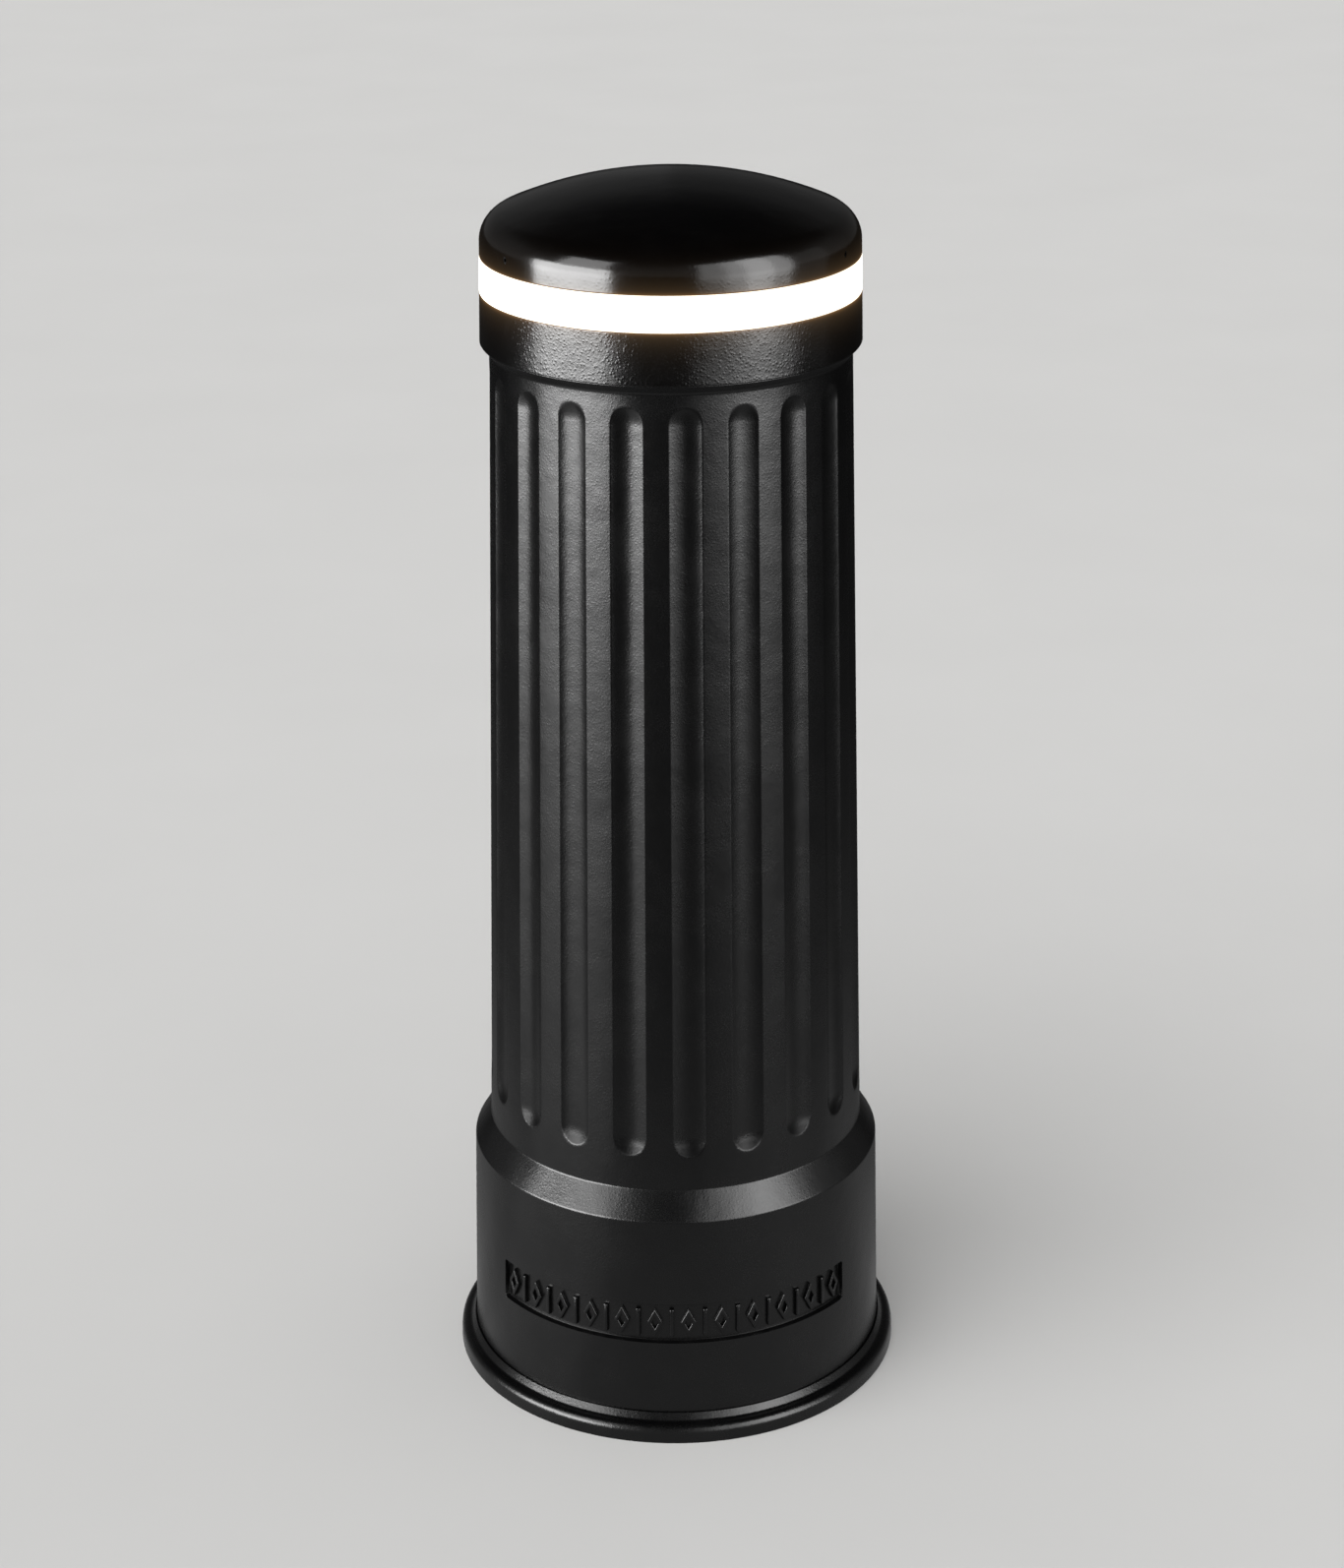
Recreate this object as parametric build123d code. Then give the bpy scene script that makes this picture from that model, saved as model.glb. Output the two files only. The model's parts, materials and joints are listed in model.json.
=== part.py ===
from build123d import *
import math
import os

# Rising bollard for a street: a lit, fluted cast post that slides down into a
# receiver set in the ground. Millimetres, +Z up. The origin is on the post's
# axis at paving level; the front (name panel) faces -Y. The post is raised.
# Angles named theta start at the front and grow towards +X. Names ending in
# _R are radii, _Z heights, _T thicknesses and _PCR radii of hole circles.

os.makedirs("parts", exist_ok=True)

# ---- above the ground ----
HEAD_R = 152.4            # cap, light ring and collar
APEX_Z = 916.0            # top of the dome
CAP_Z = 853.2             # underside of the cap, top of the light ring
LENS_Z = 825.0            # underside of the light ring, top of the collar
COLLAR_Z = 784.7          # underside of the collar, top of the column
CAP_CORNER_R = 25.0
CAP_CROWN_R = 350.0
CAP_WALL_T = 5.4
CAP_SCREW_Z = 865.0
COL_TOP_R = 144.7         # column draft: slightly wider at the bottom
COL_BOT_R = 146.3
FLARE_R = 151.6           # column's flare where it meets the collar
SHOULDER_TOP_Z = 177.0
SHOULDER_BOT_Z = 158.9
BASE_R = 158.6
CAST_BOT_Z = 5.0          # joint to the skirt, hidden behind the ring's lip
COL_BORE_R = 128.0
BASE_BORE_R = 150.6
RING_R = 170.2            # ground ring
RING_BORE_R = 159.6
RING_LIP_BORE_R = 159.1   # closer round the post at the very top
RING_LIP_Z = 17.0
RING_FLAT_Z = 12.2

# ---- below the ground ----
TRAVEL = 880.0
PIPE_OR, PIPE_IR = 177.8, 169.8    # receiver pipe
FLANGE_R = 202.0
FLANGE_Z = -32.0          # joint between ground ring and receiver
FLANGE_PCR = 188.0
FLOOR_Z = -1308.0         # top of the bottom plate
BOTTOM_Z = -1320.0
PLATE_MID_Z = (FLOOR_Z + BOTTOM_Z) / 2
PLATE_R = 215.0
ANCHOR_PCR = 196.0
BUFFER_PCR = 135.0
STRAINER_R = 44.0
STRAINER_T = 3.0
SKIRT_BOT_Z = -276.0
STOP_Z = -262.0           # top of the stop buffer
CARRIAGE_Z = -300.0       # underside of the carriage
CARRIAGE_MID_Z = (CARRIAGE_Z + SKIRT_BOT_Z) / 2
CARRIAGE_R = 167.0
WEAR_R = 169.7
WEAR_GROOVE_R = 162.0
SWITCH_ZS = (CARRIAGE_MID_Z, CARRIAGE_MID_Z - TRAVEL)
CORE_OR, CORE_IR = 109.55, 101.55
SPACER_BORE_R = 109.6
FRAME_R = 95.0
FRAME_TOP_Z = -1084.0
FRAME_PLATE_T = 16.0
FRAME_MID_Z = FRAME_TOP_Z - FRAME_PLATE_T / 2
FOOT_T = 10.0             # frame's foot ring on the bottom plate
FOOT_PCR = 78.0
GLAND_Z = -1262.0
CABLE_R = 3.2
COIL_R = 84.0             # coiled cable's centre line
COIL_BOT_Z, COIL_TOP_Z = -1078.0, 20.0
COIL_TURNS = 24


# ---- helpers ----
UPWARD = (Align.CENTER, Align.CENTER, Align.MIN)


def tube(outer, inner, bottom, top):
    """Upright tube between two heights, solid where inner is 0."""
    body = Cylinder(outer, top - bottom, align=UPWARD)
    if inner > 0:
        body -= Cylinder(inner, top - bottom, align=UPWARD)
    return Pos(0, 0, bottom) * body


def section(points):
    """Closed face in the XZ half plane from (r, z) or (r, z, corner radius)."""
    spots = [Vector(point[0], 0, point[1]) for point in points]
    count = len(points)
    corners = []                        # start, middle (rounded only) and end
    for i, (point, here) in enumerate(zip(points, spots)):
        if len(point) == 2:
            corners.append((here, None, here))
            continue
        radius = point[2]
        back = (spots[i - 1] - here).normalized()
        ahead = (spots[(i + 1) % count] - here).normalized()
        half = math.acos(back.dot(ahead)) / 2
        setback = radius / math.tan(half)
        middle = here + (back + ahead).normalized() * (radius / math.sin(half) - radius)
        corners.append((here + back * setback, middle, here + ahead * setback))
    edges = []
    for i, (start, middle, end) in enumerate(corners):
        if middle is not None:
            edges.append(Edge.make_three_point_arc(start, middle, end))
        following = corners[(i + 1) % count][0]
        if (following - end).length > 1e-6:
            edges.append(Edge.make_line(end, following))
    return Face(Wire(edges))


def lathe(points):
    return revolve(section(points), axis=Axis.Z, revolution_arc=360)


def around(shape, theta):
    """Turn a shape built at the front round to theta."""
    return Rot(0, 0, theta) * shape


def spot(theta, radius, z):
    angle = math.radians(theta)
    return (radius * math.sin(angle), -radius * math.cos(angle), z)


def spaced(count, first=0):
    """Evenly spaced angles over a full turn."""
    return [first + 360 / count * k for k in range(count)]


def placed(shape, theta, radius, z=0):
    """Move a shape out to theta and radius without turning it."""
    return Pos(*spot(theta, radius, z)) * shape


def hole(theta, circle, z, radius, length):
    """Upright cutter centred on height z."""
    return placed(Cylinder(radius, length), theta, circle, z)


def rod(start, end, radius):
    direction = Vector(*end) - Vector(*start)
    return Plane(origin=start, z_dir=direction) * Cylinder(radius, direction.length, align=UPWARD)


def x_rod(x_start, x_end, z, radius):
    return rod((x_start, 0, z), (x_end, 0, z), radius)


def cap_screw(size, length):
    """Socket head cap screw: head above z = 0, shank below."""
    head = Cylinder(0.75 * size, size, align=UPWARD)
    head = chamfer(head.edges().filter_by(GeomType.CIRCLE).sort_by(Axis.Z)[-1], 0.08 * size)
    shank = Pos(0, 0, -length) * Cylinder(size / 2, length, align=UPWARD)
    socket = Pos(0, 0, 0.45 * size) * extrude(RegularPolygon(0.45 * size, 6), 0.6 * size)
    return head + shank - socket


def cable(points, radius, bend):
    path = FilletPolyline(*points, radius=bend)
    direction = Vector(*points[1]) - Vector(*points[0])
    return sweep(Plane(origin=points[0], z_dir=direction) * Circle(radius), path=path)


def save(name, *shapes):
    solids = [solid for shape in shapes for solid in shape.solids()]
    out = solids[0] if len(solids) == 1 else Compound(solids)
    out.label = name
    export_step(out, f"parts/{name}.step")


DIAGONALS = spaced(4, 45)
QUARTERS = spaced(4)

# =====================================================================
# Ground ring and receiver (fixed in the ground)
# =====================================================================
SEAL_R = 164.5            # bottom of the seal groove
SEAL_TOP_Z, SEAL_BOT_Z = -2, -10
RING_FLANGE_TOP_Z = -20
FLANGE_THETAS = spaced(8, 22.5)

ring = lathe([
    (RING_BORE_R, -50), (169.7, -50), (169.7, FLANGE_Z), (FLANGE_R, FLANGE_Z),
    (FLANGE_R, RING_FLANGE_TOP_Z), (RING_R, RING_FLANGE_TOP_Z, 3), (RING_R, RING_FLAT_Z, 5.6),
    (163.1, RING_FLAT_Z, 2.6), (159.9, RING_LIP_Z), (RING_LIP_BORE_R, RING_LIP_Z),
    (RING_LIP_BORE_R, RING_LIP_Z - 1.4), (RING_BORE_R, RING_LIP_Z - 1.9),
    (RING_BORE_R, SEAL_TOP_Z), (SEAL_R, SEAL_TOP_Z), (SEAL_R, SEAL_BOT_Z),
    (RING_BORE_R, SEAL_BOT_Z)])
for theta in FLANGE_THETAS:
    ring -= hole(theta, FLANGE_PCR, -40, 6.5, 60)
save("ground_ring", ring)
save("ring_screws", *[placed(cap_screw(12, 26), theta, FLANGE_PCR, RING_FLANGE_TOP_Z)
                      for theta in FLANGE_THETAS])
save("wiper_seal", lathe([
    (158.7, -4), (160.6, -2.6), (SEAL_R, SEAL_TOP_Z), (SEAL_R, SEAL_BOT_Z), (160.6, -9.4),
    (158.7, -8)]))

# Pipe with a top flange and two inner rings, on a bottom plate
casing = lathe([
    (PIPE_OR, FLOOR_Z), (PIPE_OR, -44), (FLANGE_R, -44), (FLANGE_R, FLANGE_Z),
    (PIPE_IR, FLANGE_Z), (PIPE_IR, -120), (161, -120), (161, -130), (PIPE_IR, -130),
    (PIPE_IR, -246), (160.6, -246), (160.6, STOP_Z), (PIPE_IR, STOP_Z), (PIPE_IR, FLOOR_Z)])
casing += tube(PLATE_R, 40, BOTTOM_Z, FLOOR_Z)
LUG_Z = -720
lug = Pos(0, -204, LUG_Z) * Box(8, 56, 80)
lug -= Pos(0, -214, LUG_Z) * Rot(0, 90, 0) * Cylinder(8, 20)
for theta in QUARTERS:
    casing += around(lug, theta + 45)
    # pillar under a lower buffer
    casing += placed(tube(12, 0, FLOOR_Z - 2, FLOOR_Z + 103), theta + 45, BUFFER_PCR)
    casing -= hole(theta, ANCHOR_PCR, PLATE_MID_Z, 9, 20)
    casing -= hole(theta, FOOT_PCR, PLATE_MID_Z, 5, 20)
for theta in FLANGE_THETAS:
    casing -= hole(theta, FLANGE_PCR, -40, 6, 20)
casing -= x_rod(160, 190, GLAND_Z, 12.5)
for z in SWITCH_ZS:
    casing -= x_rod(-160, -190, z, 6)
casing -= tube(STRAINER_R, 0, FLOOR_Z - STRAINER_T, FLOOR_Z + 1)
save("receiver_casing", casing)

strainer = tube(STRAINER_R, 0, FLOOR_Z - STRAINER_T, FLOOR_Z)
for circle, count in ((0, 1), (14, 6), (28, 12)):
    for theta in spaced(count):
        strainer -= hole(theta, circle, FLOOR_Z - STRAINER_T / 2, 4, 10)
save("drain_strainer", strainer)

# Guide rail up the back of the pipe
rail_top = SKIRT_BOT_Z - 1
rail = Pos(0, 165.6, (FLOOR_Z + rail_top) / 2) * Box(20, 10, rail_top - FLOOR_Z)
rail &= tube(PIPE_IR, 0, FLOOR_Z, SKIRT_BOT_Z)
save("guide_rail", rail)
save("upper_guide_bush", tube(169.7, BASE_R + 0.1, -120, -52))
save("stop_buffer", tube(169.6, 160.8, SKIRT_BOT_Z, STOP_Z))

buffer = lathe([(0, -1205), (15, -1205), (17, -1193), (15, -1181, 3), (0, -1181)])
save("lower_buffers", *[placed(buffer, theta, BUFFER_PCR) for theta in DIAGONALS])

switches = []
for z in SWITCH_ZS:
    switch = x_rod(-170, -204, z, 6)
    switch += x_rod(-181, -185, z, 9) + x_rod(-204, -209, z, 3)
    switches.append(switch)
save("limit_switches", *switches)

# =====================================================================
# Drive
# =====================================================================
HOUSING_PCR = 62
GEARBOX_PCR = 56
GEARBOX_Z = FRAME_TOP_Z - FRAME_PLATE_T    # top of the gearbox
GEARBOX_FLANGE_Z = GEARBOX_Z - 12
MOTOR_TOP_Z, MOTOR_BOT_Z = -1160, -1262
MOTOR_R = 44
HOUSING_FLANGE_Z = FRAME_TOP_Z + 10
BEARING_R = 31
BEARING_BOT_Z, BEARING_TOP_Z = -1053, -1036
JOURNAL_R = 12.5          # screw's lower end, in the bearing
BALL_PCR, BALL_R = 21.75, 5.0
BALL_Z = (BEARING_BOT_Z + BEARING_TOP_Z) / 2
CIRCLIP_R = 33
CIRCLIP_TOP_Z = -1033     # top of its groove

frame = (tube(FRAME_R, 36, FRAME_TOP_Z - FRAME_PLATE_T, FRAME_TOP_Z)
         + tube(FRAME_R, 56, FLOOR_Z, FLOOR_Z + FOOT_T))
for theta in QUARTERS:
    frame += placed(tube(10, 0, FLOOR_Z + 5, FLOOR_Z + 215), theta + 45, 82)
    frame -= hole(theta + 45, HOUSING_PCR, FRAME_MID_Z, 5, 20)
    frame -= hole(theta, GEARBOX_PCR, FRAME_MID_Z, 4, 20)
    frame -= hole(theta, FOOT_PCR, FLOOR_Z + 5, 5.5, 14)
frame -= Pos(COIL_R, 0, FRAME_MID_Z) * Cylinder(5, 20)
save("drive_frame", frame)

housing = lathe([
    (26, FRAME_TOP_Z), (72, FRAME_TOP_Z), (72, HOUSING_FLANGE_Z, 1), (50, HOUSING_FLANGE_Z, 4),
    (50, -1030, 2), (BEARING_R, -1030), (BEARING_R, CIRCLIP_TOP_Z), (CIRCLIP_R, CIRCLIP_TOP_Z),
    (CIRCLIP_R, BEARING_TOP_Z), (BEARING_R, BEARING_TOP_Z), (BEARING_R, BEARING_BOT_Z),
    (26, BEARING_BOT_Z)])
drive_screws = []
for theta in QUARTERS:
    housing -= hole(theta + 45, HOUSING_PCR, FRAME_TOP_Z + 5, 5.5, 14)
    drive_screws.append(placed(cap_screw(10, 20), theta + 45, HOUSING_PCR, HOUSING_FLANGE_Z))
    drive_screws.append(placed(cap_screw(10, 20), theta, FOOT_PCR, FLOOR_Z + FOOT_T))
save("bearing_housing", housing)
save("drive_screws", *drive_screws)

ball_plane = Plane(origin=(BALL_PCR, 0, BALL_Z), x_dir=(1, 0, 0), z_dir=(0, 1, 0))
groove = revolve(ball_plane * Circle(BALL_R + 0.03), axis=Axis.Z, revolution_arc=360)
save("bearing_outer", tube(BEARING_R, 25.5, BEARING_BOT_Z, BEARING_TOP_Z) - groove)
save("bearing_inner", tube(18, JOURNAL_R, BEARING_BOT_Z, BEARING_TOP_Z) - groove)
save("bearing_balls", *[placed(Sphere(BALL_R), theta, BALL_PCR, BALL_Z) for theta in spaced(9)])
circlip = tube(CIRCLIP_R, 27, BEARING_TOP_Z, CIRCLIP_TOP_Z - 0.2)
save("bearing_circlip", circlip - Pos(0, -30, -1034) * Box(8, 16, 8))

gearbox = lathe([
    (0, MOTOR_TOP_Z), (46, MOTOR_TOP_Z, 2), (46, GEARBOX_FLANGE_Z), (66, GEARBOX_FLANGE_Z),
    (66, GEARBOX_Z), (10.05, GEARBOX_Z), (10.05, -1140), (0, -1140)])
gearbox_screws = []
for theta in QUARTERS:
    gearbox -= hole(theta, GEARBOX_PCR, GEARBOX_Z - 6, 4.5, 20)
    gearbox_screws.append(
        placed(Rot(180, 0, 0) * cap_screw(8, 24), theta, GEARBOX_PCR, GEARBOX_FLANGE_Z))
save("gearbox_case", gearbox)
save("gearbox_screws", *gearbox_screws)

motor = [(0, MOTOR_BOT_Z), (MOTOR_R, MOTOR_BOT_Z)]
for k in range(9):                      # cooling grooves
    z = MOTOR_BOT_Z + 10 + 9.6 * k
    motor += [(MOTOR_R, z), (MOTOR_R - 3, z), (MOTOR_R - 3, z + 4), (MOTOR_R, z + 4)]
motor += [(MOTOR_R, MOTOR_TOP_Z), (0, MOTOR_TOP_Z)]
save("motor_case", lathe(motor))
save("motor_brake", lathe([(0, -1286), (38, -1286, 4), (38, MOTOR_BOT_Z), (0, MOTOR_BOT_Z)]))

terminals = Pos(57, 0, -1240) * Box(30, 50, 44)
terminals = fillet(terminals.edges().filter_by(Axis.X), 3) - tube(MOTOR_R, 0, -1270, -1200)
save("terminal_box", terminals)
save("power_cable", cable(
    [(72, 0, -1246), (100, 0, -1246), (124, 0, GLAND_Z), (205, 0, GLAND_Z)], 5, 10))
gland = x_rod(164, 194, GLAND_Z, 12.5)
gland += Plane(origin=(178.2, 0, GLAND_Z), z_dir=(1, 0, 0)) * extrude(RegularPolygon(18, 6), 7)
gland -= x_rod(160, 200, GLAND_Z, 5)
save("cable_gland", gland)
save("supply_lead", cable(
    [(COIL_R, 0, COIL_BOT_Z), (COIL_R, 0, -1226), (72, 0, -1226)], CABLE_R, 6))

# ---- screw line: turns with the gearbox output ----
SCREW_R = 20.0
SCREW_TOP_Z = -100.0
SCREW_BOT_Z = -1077
SHAFT_R = 10
SHAFT_TOP_Z = -1078

save("motor_shaft", tube(SHAFT_R, 0, -1138, SHAFT_TOP_Z))
save("shaft_coupling", lathe([
    (0, SHAFT_TOP_Z), (SHAFT_R, SHAFT_TOP_Z), (SHAFT_R, -1096), (24, -1096, 1.5),
    (24, -1060, 1.5), (JOURNAL_R, -1060), (JOURNAL_R, SCREW_BOT_Z), (0, SCREW_BOT_Z)]))
save("screw_locknut", tube(17, JOURNAL_R, -1059, BEARING_BOT_Z))
screw = [(0, SCREW_BOT_Z), (JOURNAL_R, SCREW_BOT_Z), (JOURNAL_R, BEARING_TOP_Z),
         (16, BEARING_TOP_Z), (16, -1022), (SCREW_R, -1022)]
z = -1008.0
while z < SCREW_TOP_Z - 30:             # shallow rings stand for the rolled thread
    screw += [(SCREW_R, z), (SCREW_R - 1.6, z + 2), (SCREW_R - 1.6, z + 6), (SCREW_R, z + 8)]
    z += 20.0
screw += [(SCREW_R, SCREW_TOP_Z - 3), (SCREW_R - 3, SCREW_TOP_Z), (0, SCREW_TOP_Z)]
save("lift_screw", lathe(screw))

# =====================================================================
# Rising post: lifting parts
# =====================================================================
NUT_Z = -85.0             # top of the nut, foot of the thrust tube
NUT_BORE_R = SCREW_R + 0.05
TUBE_OR, TUBE_IR = 30.15, 25.15
TUBE_FLANGE_R, TUBE_FLANGE_T = 45, 12
TUBE_PCR = 37.6
tube_foot_z = NUT_Z + TUBE_FLANGE_T
tube_head_z = COLLAR_Z - TUBE_FLANGE_T

nut = (tube(TUBE_FLANGE_R, NUT_BORE_R, NUT_Z - 12, NUT_Z)
       + tube(30, NUT_BORE_R, NUT_Z - 60, NUT_Z - 12))
thrust_tube = lathe([
    (TUBE_IR, NUT_Z), (TUBE_FLANGE_R, NUT_Z), (TUBE_FLANGE_R, tube_foot_z),
    (TUBE_OR, tube_foot_z), (TUBE_OR, tube_head_z), (TUBE_FLANGE_R, tube_head_z),
    (TUBE_FLANGE_R, COLLAR_Z), (TUBE_IR, COLLAR_Z)])
nut_screws, tube_screws = [], []
for theta in DIAGONALS:
    nut -= hole(theta, TUBE_PCR, NUT_Z - 6, 4, 20)
    thrust_tube -= hole(theta, TUBE_PCR, NUT_Z + 6, 4.5, 20)
    nut_screws.append(placed(cap_screw(8, 22), theta, TUBE_PCR, tube_foot_z))
    thrust_tube -= hole(theta, TUBE_PCR, COLLAR_Z - 6, 4.5, 20)
    tube_screws.append(placed(Rot(180, 0, 0) * cap_screw(8, 22), theta, TUBE_PCR, tube_head_z))
save("lift_nut", nut)
save("thrust_tube", thrust_tube)
save("nut_screws", *nut_screws)
save("tube_screws", *tube_screws)

wear_bot, wear_top = CARRIAGE_MID_Z - 6, CARRIAGE_MID_Z + 6
carriage = (tube(CARRIAGE_R, 102, CARRIAGE_Z, SKIRT_BOT_Z)
            - tube(CARRIAGE_R + 3, WEAR_GROOVE_R, wear_bot, wear_top))
for theta in spaced(6):
    carriage -= hole(theta, 130, CARRIAGE_MID_Z, 10, 40)
# carriage and wear ring are notched at the back for the guide rail
notch_place = Pos(0, 169.9, CARRIAGE_MID_Z)
carriage -= notch_place * Box(21.2, 20, 40)
wear = tube(WEAR_R, WEAR_GROOVE_R, wear_bot, wear_top) - notch_place * Box(26, 24, 40)
save("carriage_plate", carriage)
save("wear_ring", wear)
save("guide_skirt", tube(BASE_R, BASE_BORE_R, SKIRT_BOT_Z, CAST_BOT_Z))

save("lower_spacer", tube(150.5, SPACER_BORE_R, -25, 30) - tube(145, 116, 5, 40))
save("upper_spacer", tube(127.9, SPACER_BORE_R, 700, 740))
save("coil_bracket", tube(101.5, 78, 26, 32) - Pos(COIL_R, 0, 29) * Cylinder(CABLE_R, 10))

# =====================================================================
# Fluted column, shoulder and base: one casting
# =====================================================================
FLUTES = 20
FLUTE_R = 30.5            # radius of the hollow across the flute
FLUTE_DEPTH = 3.3
FLUTE_TOP_Z = 766.3
FLUTE_BOT_Z = 201.7
FLUTE_FIRST = 4.2         # theta of the first flute
PANEL_BOT_Z, PANEL_TOP_Z = 68.7, 96.8
PANEL_MID = -1.4          # degrees from the front
PANEL_HALF = 54.8         # degrees either side of the middle
PANEL_FLOOR_R = 154.8
PANEL_FACE_R = 157.6      # face of the raised marks
PANEL_MARKS = 23
MARKS_HALF = PANEL_HALF - 3.6

casting = lathe([
    (BASE_BORE_R, CAST_BOT_Z), (BASE_R, CAST_BOT_Z), (BASE_R, SHOULDER_BOT_Z, 3),
    (COL_BOT_R, SHOULDER_TOP_Z, 2.5), (COL_TOP_R, COLLAR_Z - 7.4, 2.5),
    (FLARE_R, COLLAR_Z - 0.6), (FLARE_R, COLLAR_Z), (COL_BORE_R, COLLAR_Z),
    (COL_BORE_R, 200), (BASE_BORE_R, 150)])


def flute_centre(z):
    """Centre of the front flute's cutter, following the column's draft."""
    slope = (COL_BOT_R - COL_TOP_R) / (COLLAR_Z - SHOULDER_TOP_Z)
    surface = COL_BOT_R - slope * (z - SHOULDER_TOP_Z)
    return (0, -(surface + FLUTE_R - FLUTE_DEPTH), z)


# Each flute is a rod with ball ends, sunk FLUTE_DEPTH into the column
end_run = math.sqrt(FLUTE_R ** 2 - (FLUTE_R - FLUTE_DEPTH) ** 2)
flute_low = flute_centre(FLUTE_BOT_Z + end_run)
flute_high = flute_centre(FLUTE_TOP_Z - end_run)
flute = (rod(flute_low, flute_high, FLUTE_R) + Pos(*flute_low) * Sphere(FLUTE_R)
         + Pos(*flute_high) * Sphere(FLUTE_R))
casting -= [around(flute, theta) for theta in spaced(FLUTES, FLUTE_FIRST)]

panel = revolve(section([
    (PANEL_FLOOR_R, PANEL_BOT_Z), (BASE_R + 2, PANEL_BOT_Z), (BASE_R + 2, PANEL_TOP_Z),
    (PANEL_FLOOR_R, PANEL_TOP_Z)]), axis=Axis.Z, revolution_arc=2 * PANEL_HALF)
casting -= around(panel, -90 - PANEL_HALF + PANEL_MID)

# Raised marks: hollow lozenges and upright bars in turn
bar = Rectangle(3.0, 20)
lozenge = (Polygon((-6, 0), (0, -10), (6, 0), (0, 10))
           - Polygon((-2.8, 0), (0, -4.7), (2.8, 0), (0, 4.7)))
mark_plane = Plane(origin=(0, -154, (PANEL_BOT_Z + PANEL_TOP_Z) / 2), z_dir=(0, -1, 0))
for k in range(PANEL_MARKS):
    theta = PANEL_MID + (k - (PANEL_MARKS - 1) / 2) * 2 * MARKS_HALF / (PANEL_MARKS - 1)
    mark = around(mark_plane * extrude(bar if k % 2 else lozenge, 8), theta)
    casting += mark & tube(PANEL_FACE_R, PANEL_FLOOR_R - 0.5, PANEL_BOT_Z, PANEL_TOP_Z)
save("column_casting", casting)

# =====================================================================
# Head
# =====================================================================
PLATE_TOP_Z = COLLAR_Z + 12    # head plate, under the collar's web
WEB_TOP_Z = PLATE_TOP_Z + 8
DRUM_FOOT_Z = WEB_TOP_Z + 4    # top of the drum's lower flange
DRUM_TOP_Z = 848
DRUM_R = 122
COLLAR_BORE_R = 146.4
GASKET_OR, GASKET_IR, GASKET_T = 150.4, 148.4, 1.5
HEAD_PCR, DRUM_PCR, CROWN_PCR = 91, 105, 112
LEAD_X = 62               # cable hole through the head plate
LED_Z = 838

core = tube(CORE_OR, CORE_IR, SKIRT_BOT_Z, COLLAR_Z) + tube(CORE_IR + 2, 80, COLLAR_Z - 24, COLLAR_Z)
head = tube(139, 12, COLLAR_Z, PLATE_TOP_Z)
collar = lathe([
    (HEAD_R, LENS_Z, 0.6), (HEAD_R, COLLAR_Z, 0.7), (COLLAR_BORE_R, COLLAR_Z, 0.5),
    (COLLAR_BORE_R, PLATE_TOP_Z), (75, PLATE_TOP_Z), (75, WEB_TOP_Z), (COLLAR_BORE_R, WEB_TOP_Z),
    (COLLAR_BORE_R, LENS_Z), (GASKET_IR, LENS_Z), (GASKET_IR, LENS_Z - GASKET_T),
    (GASKET_OR, LENS_Z - GASKET_T), (GASKET_OR, LENS_Z)])
drum = lathe([
    (90, WEB_TOP_Z), (DRUM_R, WEB_TOP_Z), (DRUM_R, DRUM_TOP_Z), (104, DRUM_TOP_Z), (104, 844),
    (118, 844), (118, DRUM_FOOT_Z), (90, DRUM_FOOT_Z)])
crown = lathe([
    (0, DRUM_TOP_Z), (146.6, DRUM_TOP_Z), (146.6, 868.5, 1), (139, 868.5, 1), (139, CAP_Z, 2),
    (0, CAP_Z)])
sunk_hole = lathe([(0, -1), (6, -1), (6, 5.8), (12, 11.8), (12, 14), (0, 14)])
sunk_screw = (lathe([(0, -20), (6, -20), (6, 5.8), (12, 11.8), (12, 12), (0, 12)])
              - Pos(0, 0, 6) * extrude(RegularPolygon(4.6, 6), 8))
head_screws, drum_screws, crown_screws = [], [], []
for theta in DIAGONALS:
    head -= hole(theta, TUBE_PCR, COLLAR_Z + 5, 4, 10)
for theta in spaced(6):
    core -= hole(theta + 30, HEAD_PCR, COLLAR_Z - 12, 6, 24)
    head -= placed(sunk_hole, theta + 30, HEAD_PCR, COLLAR_Z)
    head_screws.append(placed(sunk_screw, theta + 30, HEAD_PCR, COLLAR_Z))
    head -= hole(theta, DRUM_PCR, PLATE_TOP_Z - 6, 3, 12)
    collar -= hole(theta, DRUM_PCR, PLATE_TOP_Z + 4, 3.3, 12)
    drum -= hole(theta, DRUM_PCR, PLATE_TOP_Z + 10, 3.3, 12)
    drum_screws.append(placed(cap_screw(6, 22), theta, DRUM_PCR, DRUM_FOOT_Z))
    drum -= hole(theta + 30, CROWN_PCR, 846, 2.5, 8)
    crown -= hole(theta + 30, CROWN_PCR, 850, 2.8, 12)
    crown_screws.append(placed(cap_screw(5, 9), theta + 30, CROWN_PCR, CAP_Z))
head -= Pos(LEAD_X, 0, COLLAR_Z + 6) * Cylinder(8, 20)
drum -= x_rod(-100, -130, LED_Z, 2)
save("core_pipe", core)
save("head_plate", head)
save("head_screws", *head_screws)
save("collar", collar)
save("led_drum", drum)
save("drum_screws", *drum_screws)
save("crown_plate", crown)
save("crown_screws", *crown_screws)

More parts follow.
